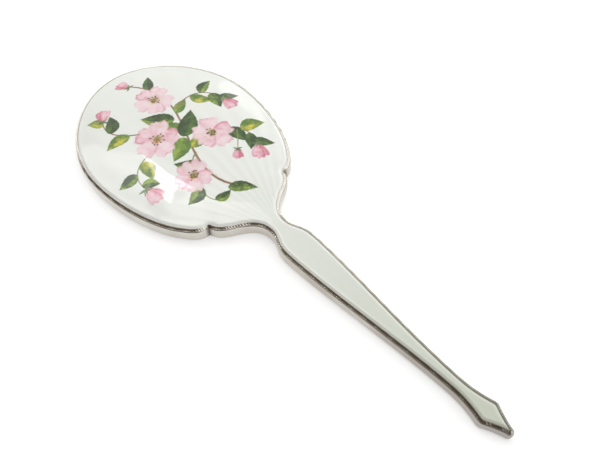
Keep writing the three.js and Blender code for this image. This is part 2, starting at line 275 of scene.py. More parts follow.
ANTHERS = [(50, 54, 32), (176, 112, 52), (78, 70, 38)]
STAMENS = 15
PETAL_ORDER = (0, 2, 4, 1, 3)  # the order in which a flower's petals are laid over one another
STROKE_STEPS = 24
STEM_STEPS = 60
rng = np.random.default_rng(SEED)
canvas = np.empty((len(CANVAS_Y), len(CANVAS_X), 3))
canvas[:] = GROUND


def soft_noise(size):
    """Smooth noise over the canvas, from about -1 to 1, with blotches of a size in millimetres."""
    rows = int(len(CANVAS_Y) * CANVAS_STEP / size) + 3
    columns = int(len(CANVAS_X) * CANVAS_STEP / size) + 3
    knots = rng.uniform(-1, 1, (rows, columns))
    u = np.arange(len(CANVAS_X)) * CANVAS_STEP / size
    v = np.arange(len(CANVAS_Y)) * CANVAS_STEP / size
    i, j = v.astype(int)[:, None], u.astype(int)[None, :]
    fv, fu = smoothstep(v % 1, 0, 1)[:, None], smoothstep(u % 1, 0, 1)[None, :]
    top = knots[i, j] * (1 - fu) + knots[i, j + 1] * fu
    bottom = knots[i + 1, j] * (1 - fu) + knots[i + 1, j + 1] * fu
    return top * (1 - fv) + bottom * fv


WASH = soft_noise(2.4) * 0.6 + soft_noise(0.9) * 0.4
GRAIN = soft_noise(0.35)


def window(centre, reach):
    """The part of the canvas within reach of a point: its slices, x and y."""
    columns = np.flatnonzero(abs(CANVAS_X - centre[0]) < reach)
    rows = np.flatnonzero(abs(CANVAS_Y - centre[1]) < reach)
    part = np.s_[rows[0] : rows[-1] + 1, columns[0] : columns[-1] + 1]
    x, y = np.meshgrid(CANVAS_X[part[1]], CANVAS_Y[part[0]])
    return part, x, y


def mixed(a, b, share):
    """Two colours, or arrays of colours, mixed by a share from 0 to 1."""
    share = np.asarray(share)[..., None]
    return np.asarray(a) * (1 - share) + np.asarray(b) * share


def lay(part, colour, cover):
    """Lays a colour over part of the canvas, as opaque as cover."""
    canvas[part] = mixed(canvas[part], colour, np.clip(cover, 0, 1))


def stroke(points, width, colour, strength=1.0):
    """A brush line along a curve, thicker at its start."""
    line = bezier(points, STROKE_STEPS)
    centre = (line.min(0) + line.max(0)) / 2
    part, x, y = window(centre, np.ptp(line, axis=0).max() / 2 + 2)
    cover = np.full(x.shape, -9.0)
    for k, (start, end) in enumerate(zip(line, line[1:])):
        step = end - start
        t = np.clip(((x - start[0]) * step[0] + (y - start[1]) * step[1]) / (step @ step), 0, 1)
        gap = np.hypot(x - start[0] - t * step[0], y - start[1] - t * step[1])
        cover = np.maximum(cover, width / 2 * (1 - 0.35 * k / len(line)) - gap)
    shade = mixed(colour, STEM_SHADE, 0.35 * smoothstep(WASH[part], -0.2, 0.8))
    lay(part, shade, smoothstep(cover, -0.16, 0.14) * strength)


def leaf(base, tip, width, bend, dark, light, lit=1, strength=1.0):
    """A pointed leaf. bend bows its midrib, and lit says which half catches the light."""
    base, axis = np.array(base, float), np.subtract(tip, base)
    length = math.hypot(*axis)
    along = axis / length
    part, x, y = window(base + axis / 2, length / 2 + width)
    dx, dy = x - base[0], y - base[1]
    t = (dx * along[0] + dy * along[1]) / length
    tc = np.clip(t, 0, 1)
    side = dy * along[0] - dx * along[1] - bend * 4 * tc * (1 - tc)
    half = width / 2 * (tc**LEAF_BASE_POWER * (1 - tc) ** LEAF_TIP_POWER) / LEAF_PEAK
    half = half * (1 + 0.025 * np.sin(t * length * 2.3)) + 0.02
    u = np.clip(abs(side) / half, 0, 1)
    tone = 0.56 + 0.30 * np.tanh(side * lit / 0.9) + 0.62 * WASH[part] - 0.50 * u**3
    veins = np.abs((t - 0.34 * u) * LEAF_VEINS % 1 - 0.5)
    tone = tone - 0.22 * smoothstep(veins, 0.30, 0.5) * (1 - u * 0.6)
    tone = tone - 0.34 * np.exp(-((side / 0.3) ** 2))
    colour = mixed(dark, light, np.clip(tone, 0, 1))
    colour = colour * (1 + 0.05 * GRAIN[part][..., None])
    edge = np.minimum(half - abs(side), np.minimum(t, 1 - t) * length + 0.1)
    lay(part, colour, smoothstep(edge, -0.2, 0.3) * strength)


def petal(frame_xy, part, angle, length, width, depth):
    """One broad petal from the flower's middle. depth, about 0 to 1, is how pink it is."""
    x, y = frame_xy
    along = x * math.cos(angle) + y * math.sin(angle)
    side = y * math.cos(angle) - x * math.sin(angle)
    notch = 0.10 * np.exp(-((side / (0.18 * width)) ** 2))
    ruffle = 0.03 * np.sin(side * 1.7 + angle * 5) + 0.05 * WASH[part]
    reach = length * (1 - notch + ruffle)
    t = along / reach
    tc = np.clip(t, 0, 1)
    half = width / 2 * tc**0.62 * np.sqrt(np.maximum(1 - tc**3.4, 0)) * 1.16 + 0.01
    edge = np.minimum(half - abs(side), np.minimum(t + 0.02, 1 - t) * length)
    rim = 1 - smoothstep(edge, 0.0, 1.8)
    across = side / np.maximum(half, 0.5)
    streak = 0.5 + 0.5 * np.sin(across * 11 + 5 * WASH[part])
    pink = 0.02 + 0.5 * depth + 0.30 * rim * (0.5 + depth) - 0.20 * tc * (1 - rim)
    pink = pink + 0.20 * streak * tc + 0.42 * WASH[part] + 0.45 * depth * across
    colour = mixed(PETAL_PALE, PETAL_PINK, np.clip(pink * 1.5, 0, 1))
    colour = mixed(colour, PETAL_DEEP, np.clip(pink * 1.1 - 0.45, 0, 1))
    colour = mixed(colour, PETAL_ROSE, np.clip(pink * 0.9 - 0.75, 0, 0.8))
    throat = smoothstep(0.34 - tc, 0, 0.34)
    colour = mixed(colour, THROAT, throat * 0.8)
    lay(part, colour, smoothstep(edge, -0.5, 0.8) * 0.94)


def flower(centre, radius, turn, squash, lean, depths):
    """An open blossom, foreshortened by squash across lean. depths say how pink each petal is."""
    part, x, y = window(centre, radius * 1.25)
    dx, dy = x - centre[0], y - centre[1]
    c, s = math.cos(lean), math.sin(lean)
    near, far = dx * c + dy * s, (dy * c - dx * s) / squash
    plan = (near * c - far * s, near * s + far * c)
    for k in PETAL_ORDER:
        angle = turn + math.tau * k / len(PETAL_ORDER) + rng.uniform(-0.12, 0.12)
        petal(plan, part, angle, radius * rng.uniform(0.93, 1.05), radius * 1.08, depths[k])
    stamens(centre, radius)


def stamens(centre, radius):
    """The flower's middle: a soft green and ochre eye, fine threads, and dark tips."""
    part, x, y = window(centre, radius * 0.5)
    eye = np.hypot(x - centre[0], y - centre[1])
    lay(part, EYE, 0.85 * (1 - smoothstep(eye + 0.5 * WASH[part], 0.4, 2.4)))
    blot = np.hypot(x - centre[0] - 1.0, y - centre[1] + 0.8)
    lay(part, OCHRE, 0.85 * (1 - smoothstep(blot, 0.3, 1.9)))
    for k in range(STAMENS):
        angle = math.tau * k / STAMENS + rng.uniform(-0.3, 0.3)
        length = radius * rng.uniform(0.10, 0.30)
        tip = (centre[0] + length * math.cos(angle), centre[1] + length * math.sin(angle))
        middle = ((centre[0] + tip[0]) / 2 + rng.uniform(-0.3, 0.3), (centre[1] + tip[1]) / 2)
        stroke([centre, middle, tip], 0.42, FILAMENT, 0.7)
        dot = np.hypot(x - tip[0], y - tip[1])
        lay(part, ANTHERS[k % 3], 0.9 * (1 - smoothstep(dot, 0.2, 0.7)))


def bud(centre, direction, length, width, rose):
    """A bud of three folded petals, with sepals at the stem end. rose says how pink it is."""
    angle = math.radians(direction)
    foot = np.array(centre) - np.array([math.cos(angle), math.sin(angle)]) * length * 0.48
    for turn in (-105, -50, 46, 100):
        sepal(foot, direction + turn, length * 0.36)
    part, x, y = window(centre, length)
    plan = (x - foot[0], y - foot[1])
    for turn, reach, deeper in ((-0.27, 0.95, 0.5), (0.29, 0.97, 0.35), (0.0, 1.02, 0.1)):
        petal(plan, part, angle + turn, length * reach, width * 0.66, rose + deeper)
    for turn in (-28, 24):
        sepal(foot, direction + turn, length * 0.25)


def sepal(foot, direction, length):
    """A thin green point."""
    angle = math.radians(direction)
    tip = (foot[0] + length * math.cos(angle), foot[1] + length * math.sin(angle))
    leaf(foot, tip, max(0.9, length * 0.34), 0.2, SEPAL_DARK, SEPAL_LIGHT, strength=0.9)


def shoot(curve, width, colour, leaves, length, side):
    """A stem with leaves on alternate sides that grow smaller towards its end."""
    stroke(curve, width, colour)
    line = bezier(curve, STEM_STEPS)
    for k in range(leaves):
        t = 0.3 + 0.62 * k / max(leaves - 1, 1)
        at = round(t * (STEM_STEPS - 3)) + 1
        ahead = line[at + 1] - line[at - 1]
        turn = side * (-1) ** k * rng.uniform(0.7, 1.0)
        heading = math.atan2(ahead[1], ahead[0]) + turn
        reach = length * (1.15 - 0.4 * t) * rng.uniform(0.88, 1.1)
        tip = line[at] + reach * np.array([math.cos(heading), math.sin(heading)])
        dark, light = LEAF_TONES[rng.integers(len(LEAF_TONES))]
        bend = reach * rng.uniform(-0.12, 0.12)
        leaf(line[at], tip, reach * rng.uniform(0.5, 0.62), bend, dark, light, side)


def paint_spray():
    """A spray of blossom of its own design: a stem that rises from the neck in an S, with side shoots."""
    shoot([(-22, 6), (-50, -28), (-88, 30), (-124, 2)], 1.3, STEM_BROWN, 6, 15, 1)
    shoot([(-90, 10), (-98, 24), (-90, 34), (-79, 34)], 0.8, STEM_BROWN, 4, 14, -1)
    shoot([(-84, -8), (-92, -24), (-102, -30), (-111, -24)], 0.8, STEM_BROWN, 3, 14, 1)
    shoot([(-74, -16), (-74, -28), (-68, -36), (-58, -34)], 0.7, STEM_GREEN, 3, 12, 1)
    shoot([(-66, 10), (-60, 26), (-52, 31), (-42, 26)], 0.8, STEM_BROWN, 4, 14, -1)
    shoot([(-47, -8), (-38, -16), (-32, -17), (-27, -12)], 0.7, STEM_GREEN, 2, 11, -1)
    stroke([(-58, -2), (-55, -8), (-50, -11)], 0.8, STEM_GREEN)
    stroke([(-56, 24), (-50, 20), (-46, 16)], 0.6, STEM_GREEN)
    leaf((-84, 4), (-97, -9), 10.5, 1.0, LEAF_DARK, LEAF_LIGHT, 1)
    leaf((-71, 0), (-84, 15), 10.5, -1.0, LEAF_DARK, LEAF_MID, -1)
    leaf((-70, 0), (-61, -14), 9.5, 0.8, LEAF_MID, LEAF_LIGHT, -1)
    leaf((-30, -4), (-20, 7), 6.5, 0.8, LEAF_DARK, LEAF_LIGHT, -1)
    flower((-104, 5), 12, 0.8, 0.95, 0.0, (0.05, 0.3, 0.7, 0.1, 0.4))
    flower((-47.5, -12), 11, 2.0, 0.94, 2.6, (0.2, 0.35, 0.7, 0.1, 0.5))
    flower((-63, 13), 12.2, 0.2, 0.92, 0.5, (0.35, 0.75, 0.3, 0.2, 0.5))
    flower((-79, -11), 13.4, 1.1, 0.94, 2.0, (0.7, 0.25, 0.8, 0.3, 0.2))
    bud((-127, 0), 200, 9, 8, 1.0)
    bud((-75, 34.5), 10, 10.4, 9.2, 1.0)
    bud((-114.5, -21.5), 145, 10, 9, 0.9)
    bud((-52.5, -33.5), 10, 11.4, 10.2, 0.75)
    bud((-37.5, 23.5), -30, 11, 9.8, 0.9)
    bud((-43, 13.5), -40, 7.4, 6.4, 1.2)


def painted(points):
    """The canvas's colour at plan points. Past its edges, which are plain ground, the edge goes on."""
    x, y = points.T
    u = np.clip((x - CANVAS_X[0]) / CANVAS_STEP, 0, len(CANVAS_X) - 1.001)
    v = np.clip((y - CANVAS_Y[0]) / CANVAS_STEP, 0, len(CANVAS_Y) - 1.001)
    i, j = v.astype(int), u.astype(int)
    fu, fv = (u - j)[:, None], (v - i)[:, None]
    low = canvas[i, j] * (1 - fu) + canvas[i, j + 1] * fu
    high = canvas[i + 1, j] * (1 - fu) + canvas[i + 1, j + 1] * fu
    return low * (1 - fv) + high * fv


def linear(colour):
    """Display colours from 0 to 255 as linear light."""
    c = np.asarray(colour) / 255
    return np.where(c < 0.04045, c / 12.92, ((c + 0.055) / 1.055) ** 2.4)


# ---- the enamel's mesh: a lattice over the enamel, halved again wherever the painting has detail ----
COLUMNS = 64
ROWS = 16
PLAIN_DEPTH = 2
EDGE_DEPTH = 3
PAINT_DEPTH = 5
CONTRAST = 17  # difference in colour, out of 255, that a cell may span
SAMPLES = (np.arange(5) + 0.5) / 5  # where the painting is read across a cell
MIDDLE = len(SAMPLES) // 2
RIM_ROWS = 0.7  # how far out across the lattice the rim's rows start
NECK_X = -8  # middle and half length of the stretch where the outline turns most
NECK_REACH = 24
SPADE_X = 112  # start of the flared end
OUTLINE_STEP = 0.2
ENAMEL_CREASE = 60
WELD = 0.0001  # points closer than this are joined
enamel_edge = inset_half(half_outline(OUTLINE_STEP), ENAMEL_INSET)


def lattice_plan(a, b):
    """Plan points for places from 0 to 1 along the half outline and from -1 to 1 across."""
    at = np.asarray(a) * (len(enamel_edge) - 1)
    x = np.interp(at, np.arange(len(enamel_edge)), enamel_edge[:, 0])
    y = np.interp(at, np.arange(len(enamel_edge)), enamel_edge[:, 1])
    return np.stack([x, y * np.sin(math.pi / 2 * np.asarray(b))], -1)


def lattice_cells():
    """The cells as columns of low corner and size, counted in steps of the finest lattice."""
    cells = np.stack(np.meshgrid(np.arange(COLUMNS), np.arange(ROWS), indexing="ij"), -1).reshape(-1, 2)
    done = []
    for depth in range(PAINT_DEPTH + 1):
        fine = 2**depth
        u = (cells[:, 0, None, None] + SAMPLES[None, :, None]) / (COLUMNS * fine)
        v = (cells[:, 1, None, None] + SAMPLES[None, None, :]) / (ROWS * fine) * 2 - 1
        u, v = np.broadcast_arrays(u, v)
        plan = lattice_plan(u, v)
        colours = painted(plan.reshape(-1, 2)).reshape(len(cells), -1, 3)
        split = np.ptp(colours, axis=1).max(1) > CONTRAST
        x = plan[:, MIDDLE, MIDDLE, 0]
        near_rim = abs(v).max((1, 2)) > RIM_ROWS
        turning = (abs(x - NECK_X) < NECK_REACH) | (x > SPADE_X)
        split |= near_rim & turning & (depth < EDGE_DEPTH)
        split |= depth < PLAIN_DEPTH
        split &= depth < PAINT_DEPTH
        size = 2 ** (PAINT_DEPTH - depth)
        kept = cells[~split]
        done.append(np.column_stack([kept * size, np.full(len(kept), size)]))
        quarters = np.array([(0, 0), (1, 0), (1, 1), (0, 1)])
        cells = (cells[split][:, None] * 2 + quarters).reshape(-1, 2)
    return np.concatenate(done)


def lattice_mesh():
    """Plan points and faces. A cell beside smaller ones is a fan that meets each of their corners."""
    cells = lattice_cells()
    fine = 2**PAINT_DEPTH
    used = np.zeros((COLUMNS * fine + 1, ROWS * fine + 1), bool)
    for di, dj in ((0, 0), (1, 0), (1, 1), (0, 1)):
        used[cells[:, 0] + di * cells[:, 2], cells[:, 1] + dj * cells[:, 2]] = True
    places = np.argwhere(used).astype(float)
    number = np.cumsum(used.ravel()).reshape(used.shape) - 1
    middles = []
    faces = []
    for i, j, size in cells.tolist():
        along = np.flatnonzero(used[i : i + size, j]) + i
        up = np.flatnonzero(used[i + size, j : j + size]) + j
        back = i + size - np.flatnonzero(used[i + size : i : -1, j + size])
        down = j + size - np.flatnonzero(used[i, j + size : j : -1])
        loop = [number[k, j] for k in along] + [number[i + size, k] for k in up]
        loop += [number[k, j + size] for k in back] + [number[i, k] for k in down]
        if len(loop) == 4:
            faces.append([int(k) for k in loop])
            continue
        middle = len(places) + len(middles)
        middles.append((i + size / 2, j + size / 2))
        faces += [(int(a), int(b), middle) for a, b in zip(loop, loop[1:] + loop[:1])]
    places = np.concatenate([places, np.reshape(middles, (-1, 2))])
    return lattice_plan(places[:, 0] / (COLUMNS * fine), places[:, 1] / (ROWS * fine) * 2 - 1), faces


def enamel_sheet(material):
    """The enamel, with its painting and a rim painted paler to lift the shade on its shoulder, held as a
    colour on every point.
    """
    plan, faces = lattice_mesh()
    points = np.column_stack([plan, enamel_top(plan)])
    piece = mesh_piece("enamel_sheet", points, faces, material, "back_enamel", ENAMEL_CREASE)
    build = bmesh.new()
    build.from_mesh(piece.data)
    bmesh.ops.remove_doubles(build, verts=build.verts, dist=WELD * MM)
    rim = [e for e in build.edges if e.is_boundary]
    down = bmesh.ops.extrude_edge_only(build, edges=rim)["geom"]
    low = [v for v in down if isinstance(v, bmesh.types.BMVert)]
    bmesh.ops.translate(build, verts=low, vec=(0, 0, -ENAMEL_THICKNESS * MM))
    bmesh.ops.recalc_face_normals(build, faces=build.faces)
    build.to_mesh(piece.data)
    build.free()
    piece.data.shade_smooth()
    piece.data.set_sharp_from_angle(angle=math.radians(ENAMEL_CREASE))
    where = np.zeros(len(piece.data.vertices) * 3)
    piece.data.vertices.foreach_get("co", where)
    plan = where.reshape(-1, 3)[:, :2] / MM
    # painted light: the rim is painted near white, lifting the shade on the enamel's sloping shoulder
    painted_rim_light = 1 - smoothstep(distance_to_outline(plan) - ENAMEL_INSET, 0, RIM_LIGHT_WIDTH)
    colour = np.ones((len(plan), 4))
    colour[:, :3] = linear(mixed(painted(plan), RIM_PAINTED_LIGHT, painted_rim_light))
    paint = piece.data.color_attributes.new("paint", "FLOAT_COLOR", "POINT")
    paint.data.foreach_set("color", colour.ravel())
    return piece


# ---- the metal ----
CUT_PITCH = 1.4
CUT_DEPTH = 0.17
CUT_HALF = 0.3  # half of a cut's width, as a share of the pitch
CUT_SWELL = 7.5  # length over which the cuts grow deeper and shallower again
CUT_SLANT = 0.5
BORDER_TOP = 1.1  # height over the case of the border's inner edge
# The border's face as points of inset, rise over its foot, and share of the cuts' depth there.
BORDER_FACE = [(0.6, 0.2, 0), (0.68, 0.28, 0), (0.85, 0.38, 0.8), (1.1, 0.53, 1), (1.35, 0.67, 1)]
BORDER_FACE += [(1.52, 0.77, 0.7), (1.6, 0.82, 0)]
BORDER_FACE += [(1.66, 0.94, 0), (1.76, 0.99, 0), (1.86, 0.94, 0)]
CASE_STEP = 0.25
CASE_FLAT = 1.8  # inset of the edge of the case's flat front


def engraved_strip(material):
    """The border, with slanting cuts across its face and a bead along its inner edge."""
    half = half_outline(OUTLINE_STEP)
    lengths = np.arange(len(half[0])) * OUTLINE_STEP
    rings = [at_height(whole(inset_half(half, BORDER_INNER)), lambda x: case_top(x) + BORDER_FOOT)]
    rings.append(at_height(whole(inset_half(half, BORDER_OUTER)), lambda x: case_top(x) + BORDER_FOOT))
    depths = [np.zeros(len(rings[0]))] * 2
    for inset, rise, cut in BORDER_FACE:
        phase = (lengths / CUT_PITCH + CUT_SLANT * inset) % 1
        swell = 0.65 + 0.35 * np.sin(lengths / CUT_SWELL * math.tau)
        groove = np.maximum(0, 1 - abs(phase - 0.5) / CUT_HALF) * cut * swell
        both = abs(whole(np.column_stack([lengths, groove]))[:, 1])
        ring = at_height(whole(inset_half(half, inset)), lambda x: case_top(x) + BORDER_FOOT + rise)
        ring[:, 2] -= CUT_DEPTH * both
        rings.append(ring)
        depths.append(both)
    rings.append(at_height(whole(inset_half(half, BORDER_INNER)), lambda x: case_top(x) + BORDER_TOP))
    depths.append(depths[0])
    points, faces = hoop(rings)
    piece = mesh_piece("engraved_strip", points, faces, material, "engraved_border", 28)
    cuts = piece.data.attributes.new("cut", "FLOAT", "POINT")
    cuts.data.foreach_set("value", np.concatenate(depths))
    return piece


def case_tray(material):
    """The case: a convex side band, a rolled top edge, and the flat front with its oval hole."""
    half = half_outline(CASE_STEP)
    lower = bezier([(CASE_FLAT, 0), (0.6, 0), (0, 0.12), (0, 0.38)], 9)
    upper = bezier([(0, 0.52), (0, 0.76), (0.2, 0.99), (0.62, 1)], 9)
    inner = [(CASE_LINING, 0.995), (CASE_LINING, 0.5)]
    rings = [
        at_height(whole(inset_half(half, inset)), lambda x: share * case_top(x))
        for inset, share in [*lower, *upper, *inner]
    ]
    points, faces = hoop(rings, closed=False)
    edge = whole(inset_half(half, CASE_FLAT))
    hole = oval(BEZEL_WALL + BEZEL_GAP)
    first = len(points)
    hole_rings = [at_height(hole, 0.0), at_height(hole, CASE_WALL)]
    points = np.concatenate([points, *hole_rings])
    flat = [[Vector((*p, 0)) for p in edge], [Vector((*p, 0)) for p in hole[::-1]]]
    count = len(edge)
    place = [*range(count), *[first + k for k in reversed(range(len(hole)))]]
    faces += [tuple(place[k] for k in triangle) for triangle in tessellate_polygon(flat)]
    n = len(hole)
    faces += [
        (first + k, first + n + k, first + n + (k + 1) % n, first + (k + 1) % n) for k in range(n)
    ]
    piece = mesh_piece("case_tray", points, faces, material, "front_case", 40)
    build = bmesh.new()
    build.from_mesh(piece.data)
    bmesh.ops.recalc_face_normals(build, faces=build.faces)
    build.to_mesh(piece.data)
    build.free()
    return piece


def bezel_hoop(material):
    """The hoop round the glass, with a rounded lip and a fine step."""
    # The section is a loop of points: margin outside the glass's edge, and height.
    section = [(-1.6, 0.8), (-1.6, 0.5)]
    section += [tuple(p) for p in bezier([(-1.6, 0.5), (-1.5, 0.2), (-1.1, 0.08), (-0.7, 0.06)], 6)[1:]]
    section += [(-0.3, 0.06), (-0.2, 0.16), (-0.02, 0.16), (0.08, 0.03)]
    section += [tuple(p) for p in bezier([(0.08, 0.03), (0.6, 0), (1.2, 0), (1.3, 0.3)], 7)[1:]]
    section += [(1.3, 0.8), (2.8, 0.8), (2.8, 1.3), (0.3, 1.3), (0.3, 0.8)]
    rings = [at_height(oval(margin), z) for margin, z in section]
    points, faces = hoop(rings)
    return mesh_piece("bezel_hoop", points, faces, material, "glass_bezel", 40)


def bevelled_glass(material):
    """The oval glass, front down, with a wide bevel and a small arris."""
    section = [(-BEVEL_WIDTH, GLASS_FRONT), (-0.3, 1.96), (0, 2.1), (0, GLASS_BACK)]
    rings = [at_height(oval(margin), z) for margin, z in section]
    points, faces = hoop(rings, closed=False)
    n = len(rings[0])
    faces += [tuple(reversed(range(n))), tuple(range(len(points) - n, len(points)))]
    return mesh_piece("bevelled_glass", points, faces, material, "mirror_glass", 2)


# ---- materials ----
# dark brown, for the painted shade in the notches and the browning towards the tip
DARK_BROWN = (74, 64, 50)
TIP_BROWN = 0.5  # share of dark brown at the tip
TIP_BROWN_START = 30  # from here to the tip the metal grows browner
TIP_X = 140
TIP_TINT = (206, 211, 194)  # what the enamel's colour is multiplied by towards the tip
NOTCH_SHADE = 0.85  # share of painted shade down in a notch
NOTCH_REACH = 2.0
FAN_X = 6  # the engine turning fans out from this point on the centre line
FAN_REACH = 110  # where it has faded to a quarter
RAYS = 96
FINE_RAYS = 384
SECTORS = 52
RIPPLES = 900.0  # in radians for each metre from the fan's middle
SCRATCH = 0.05


class Nodes:
    """A material's node tree, with short calls to add nodes and join them."""

    def __init__(self, name, **values):
        self.material = bpy.data.materials.new(name)
        self.material.use_nodes = True
        self.tree = self.material.node_tree
        self.shader = self.tree.nodes["Principled BSDF"]
        self.place = self.add("ShaderNodeTexCoord").outputs["Object"]
        for key, value in values.items():
            socket = key.replace("_", " ").title().replace("Ior", "IOR")
            self.shader.inputs[socket].default_value = value

    def add(self, kind, inputs=(), **settings):
        """A new node. Each input takes a value, or is joined to another node's output."""
        node = self.tree.nodes.new(kind)
        for key, value in settings.items():
            setattr(node, key, value)
        for key, value in dict(inputs).items():
            if isinstance(value, bpy.types.NodeSocket):
                self.tree.links.new(value, node.inputs[key])
            else:
                node.inputs[key].default_value = value
        return node

    def math(self, operation, a, b=0.0):
        """A sum or function of one or two values."""
        return self.add("ShaderNodeMath", {0: a, 1: b}, operation=operation).outputs[0]

    def noise(self, scale, detail=3.0, stretch=None):
        """Noise of a scale in cycles for each metre, finer along the axes that stretch enlarges."""
        place = self.place
        if stretch:
            place = self.add("ShaderNodeMapping", {"Vector": place, "Scale": stretch}).outputs[0]
        inputs = {"Vector": place, "Scale": scale, "Detail": detail}
        return self.add("ShaderNodeTexNoise", inputs).outputs["Fac"]

    def ramp(self, value, low, high, start=0.0, end=1.0):
        """The value rescaled from start..end to low..high, and kept there."""
        inputs = {"Value": value, "From Min": start, "From Max": end, "To Min": low, "To Max": high}
        return self.add("ShaderNodeMapRange", inputs).outputs[0]

    def blend(self, share, a, b, mode="MIX"):
        """Colour a blended with colour b by a share from 0 to 1."""
        node = self.add("ShaderNodeMix", data_type="RGBA", blend_type=mode)
        for key, value in (("Factor_Float", share), ("A_Color", a), ("B_Color", b)):
            socket = next(i for i in node.inputs if i.identifier == key)
            if isinstance(value, bpy.types.NodeSocket):
                self.tree.links.new(value, socket)
            else:
                socket.default_value = value
        return next(o for o in node.outputs if o.identifier == "Result_Color")

    def bump(self, height, strength, distance):
        """A normal that follows a height, of which 1 stands for a distance in millimetres."""
        inputs = {"Height": height, "Strength": strength, "Distance": distance * MM}
        return self.add("ShaderNodeBump", inputs).outputs[0]

    def crease(self):
        """How much painted shade there is: most down in the notches beside the neck, none a little way
        off.
        """
        x, y, _ = self.add("ShaderNodeSeparateXYZ", {0: self.place}).outputs
        dx = self.math("SUBTRACT", x, NOTCH_X * MM)
        dy = self.math("SUBTRACT", self.math("ABSOLUTE", y), NOTCH_Y * MM)
        square = self.math("ADD", self.math("MULTIPLY", dx, dx), self.math("MULTIPLY", dy, dy))
        return self.ramp(self.math("SQRT", square), NOTCH_SHADE, 0.0, 0.2 * MM, NOTCH_REACH * MM)

    def browner_to_tip(self, metal):
        """The metal's colour, browner towards the tip."""
        x = self.add("ShaderNodeSeparateXYZ", {0: self.place}).outputs[0]
        return self.blend(self.ramp(x, 0.0, TIP_BROWN, TIP_BROWN_START * MM, TIP_X * MM), metal, rgb(*DARK_BROWN))

    def feed(self, socket, value):
        """Joins a node's output to an input of the shader."""
        self.tree.links.new(value, self.shader.inputs[socket])


def rgb(*display):
    """A display colour as the linear one that a socket takes."""
    return (*linear(display), 1.0)


def enamel_material():
    """Clear polished enamel over engine turning that fans out from the neck, with the turning's sheen
    painted into the colour in sectors.
    """
    m = Nodes("enamel_over_engine_turning", metallic=0.06, coat_weight=1.0, specular_ior_level=0.15)
    m.shader.inputs["Coat Roughness"].default_value = 0.045
    m.shader.inputs["Coat IOR"].default_value = 1.52
    x, y, _ = m.add("ShaderNodeSeparateXYZ", {0: m.place}).outputs
    dx = m.math("SUBTRACT", x, FAN_X * MM)
    angle = m.math("ARCTAN2", y, dx)
    radius = m.math("SQRT", m.math("ADD", m.math("MULTIPLY", dx, dx), m.math("MULTIPLY", y, y)))
    ripple = m.math("MULTIPLY", m.math("SINE", m.math("MULTIPLY", radius, RIPPLES)), 0.5)
    rays = m.math("SINE", m.math("ADD", m.math("MULTIPLY", angle, RAYS), ripple))
    fine = m.math("SINE", m.math("SUBTRACT", m.math("MULTIPLY", angle, FINE_RAYS), ripple))
    on_head = m.ramp(radius, 1.0, 0.25, 10 * MM, FAN_REACH * MM)
    near = m.math("MULTIPLY", on_head, m.ramp(x, 1.0, 0.2, 0.0, 12 * MM))
    height = m.math("MULTIPLY", m.math("ADD", rays, m.math("MULTIPLY", fine, 0.4)), near)
    m.feed("Normal", m.bump(height, 0.22, 0.06))
    # painted sheen: the base colour is made lighter and darker in sectors that fan out from the neck
    sector = m.math("SINE", m.math("ADD", m.math("MULTIPLY", angle, SECTORS), m.noise(30.0)))
    cloud = m.noise(22.0, 2.0)
    painted_sheen = m.math("MULTIPLY", m.math("MULTIPLY", sector, near), 0.03)
    tone = m.math("ADD", painted_sheen, m.ramp(cloud, 0.90, 0.96))
    paint = m.add("ShaderNodeAttribute", attribute_name="paint").outputs["Color"]
    grey = m.add("ShaderNodeCombineColor", {0: tone, 1: tone, 2: tone}).outputs[0]
    colour = m.blend(1.0, paint, grey, "MULTIPLY")
    tip = m.ramp(x, 0.0, 0.8, -30 * MM, TIP_X * MM)
    m.feed("Base Color", m.blend(tip, colour, rgb(*TIP_TINT), "MULTIPLY"))
    m.feed("Roughness", m.ramp(m.noise(60.0), 0.3, 0.4))
    return m.material


def silver_material(name, bright, dull, low, high):
    """Polished silver with a soft tarnish and fine wear. low and high bound its roughness."""
    m = Nodes(name, metallic=1.0)
    tarnish = m.ramp(m.noise(38.0, 4.0), 0.0, 1.0, 0.35, 0.7)
    metal = m.browner_to_tip(m.blend(tarnish, rgb(*bright), rgb(*dull)))
    # painted shade: the metal is darker down in the notches beside the neck
    m.feed("Base Color", m.blend(m.crease(), metal, rgb(*DARK_BROWN)))
    m.feed("Roughness", m.ramp(m.noise(260.0, 5.0), low, high, 0.3, 0.7))
    m.feed("Normal", m.bump(m.noise(900.0, 4.0, (1, 1, 6)), SCRATCH, 0.05))
    return m.material


def border_material():
    """Silver that is bright on the ridges and dark with tarnish down in the cuts."""
    m = Nodes("bright_cut_silver", metallic=1.0)
    cut = m.add("ShaderNodeAttribute", attribute_name="cut").outputs["Fac"]
    tarnish = m.math("MULTIPLY", m.ramp(cut, 0.0, 1.0, 0.6, 1.0), m.ramp(m.noise(50.0), 0.6, 1.0))
    metal = m.browner_to_tip(m.blend(tarnish, rgb(232, 228, 218), rgb(112, 101, 82)))
    # painted shade: the border is darker down in the notches beside the neck
    m.feed("Base Color", m.blend(m.crease(), metal, rgb(*DARK_BROWN)))
    m.feed("Roughness", m.ramp(m.noise(300.0, 4.0), 0.10, 0.26))
    return m.material


def glass_material():
    """Glass silvered on its back: a mirror, a little green, that is foxed here and there."""
    m = Nodes("silvered_glass", metallic=1.0, coat_weight=1.0)
    m.shader.inputs["Coat Roughness"].default_value = 0.01
    fox = m.ramp(m.noise(55.0, 6.0), 0.0, 1.0, 0.66, 0.82)
    m.feed("Base Color", m.blend(fox, rgb(232, 238, 235), rgb(206, 202, 188)))
    m.feed("Roughness", m.ramp(fox, 0.01, 0.12))
    return m.material


def silvering_material():
    """The mirror coat, with a little fogging."""
    m = Nodes("mirror_coat", metallic=1.0)
    fog = m.ramp(m.noise(45.0, 6.0), 0.0, 1.0, 0.62, 0.8)
    m.feed("Base Color", m.blend(fog, rgb(236, 238, 238), rgb(206, 204, 196)))
    m.feed("Roughness", m.ramp(fog, 0.02, 0.16))
    return m.material


